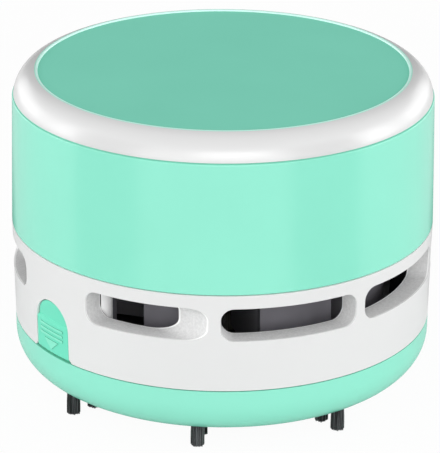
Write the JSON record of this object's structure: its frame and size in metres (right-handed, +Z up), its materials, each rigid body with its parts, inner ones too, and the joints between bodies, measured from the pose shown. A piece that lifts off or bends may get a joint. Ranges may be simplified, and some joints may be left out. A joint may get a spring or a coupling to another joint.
{
  "type": "desktop mini vacuum cleaner",
  "caption": "Squat round desktop vacuum cleaner in two shell colours that glides on bristle tufts, with air slots, a push-button release, a rear slide switch and a battery lid.",
  "frame": {"origin": "on the table, under the centre of the round body", "axes": "+Z up along the body's axis, front towards -Y, inlet towards +Y"},
  "size_m": [0.085, 0.085, 0.0653],
  "materials": {
    "mint_shell": "satin moulded plastic",
    "mint_panel": "fine matt texture",
    "white_shell": "satin moulded plastic",
    "bristle": "bundled nylon filament",
    "seal_rubber": "matt",
    "black_plastic": "matt moulded plastic",
    "fan_plastic": "matt moulded plastic",
    "filter_cloth": "fine woven mesh",
    "steel": "bright zinc-plated",
    "contact_metal": "nickel-plated",
    "magnet": "sintered ferrite",
    "copper": "enamelled copper",
    "bearing_metal": "sintered bronze",
    "cell_wrap": "shrink sleeve, bare",
    "tray_plastic": "matt moulded plastic",
    "switch_case": "moulded",
    "lead_jacket": "soft insulation",
    "pad_foam": "open foam"
  },
  "bodies": {
    "dust_cup": {"base_shell": "mint_shell", "suction_nozzle": "black_plastic", "bristle_tufts_outer": "bristle", "bristle_tufts_inner": "bristle", "cup_seal": "seal_rubber", "button_spring": "steel"},
    "release_button": {"release_button": "mint_shell"},
    "main_body": {"vent_ring": "white_shell", "fan_shroud": "black_plastic", "filter_frame": "white_shell", "filter_mesh": "filter_cloth", "shroud_screws": "steel", "chassis_plate": "black_plastic", "chassis_screws": "steel", "motor_can": "steel", "motor_magnets": "magnet", "motor_end_cap": "black_plastic", "motor_bushings": "bearing_metal", "motor_terminals": "contact_metal", "motor_screws": "steel", "outer_shell": "mint_shell", "battery_tray": "tray_plastic", "tray_screws": "steel", "battery_cell_front": "cell_wrap", "battery_cell_rear": "cell_wrap", "contact_tabs": "contact_metal", "contact_bridge": "contact_metal", "contact_springs": "contact_metal", "switch_housing": "switch_case", "switch_terminals": "contact_metal", "lead_wires": "lead_jacket"},
    "rotor": {"impeller": "fan_plastic", "motor_shaft": "steel", "armature_core": "steel", "armature_windings": "copper", "commutator": "copper"},
    "switch": {"switch_knob": "white_shell", "switch_slider": "switch_case"},
    "lid": {"lid_bezel": "white_shell", "lid_panel": "mint_panel", "battery_pads": "pad_foam"}
  },
  "joints": [
    {"name": "button_press", "type": "slide", "parent": "dust_cup", "child": "release_button", "axis": [0.7934, 0.6088, 0], "range_m": [0, 0.0015], "stiffness_N_per_m": 200, "deforming": ["button_spring"]},
    {"name": "body_lift", "type": "slide", "parent": "dust_cup", "child": "main_body", "axis": [0, 0, 1], "range_m": [0, 0.03]},
    {"name": "fan_spin", "type": "hinge", "parent": "main_body", "child": "rotor", "pos_m": [0, 0, 0.03], "axis": [0, 0, 1], "continuous": true},
    {"name": "switch_slide", "type": "slide", "parent": "main_body", "child": "switch", "axis": [1, 0, 0], "range_m": [0, 0.003]},
    {"name": "lid_lift", "type": "slide", "parent": "main_body", "child": "lid", "axis": [0, 0, 1], "range_m": [0, 0.02]}
  ]
}
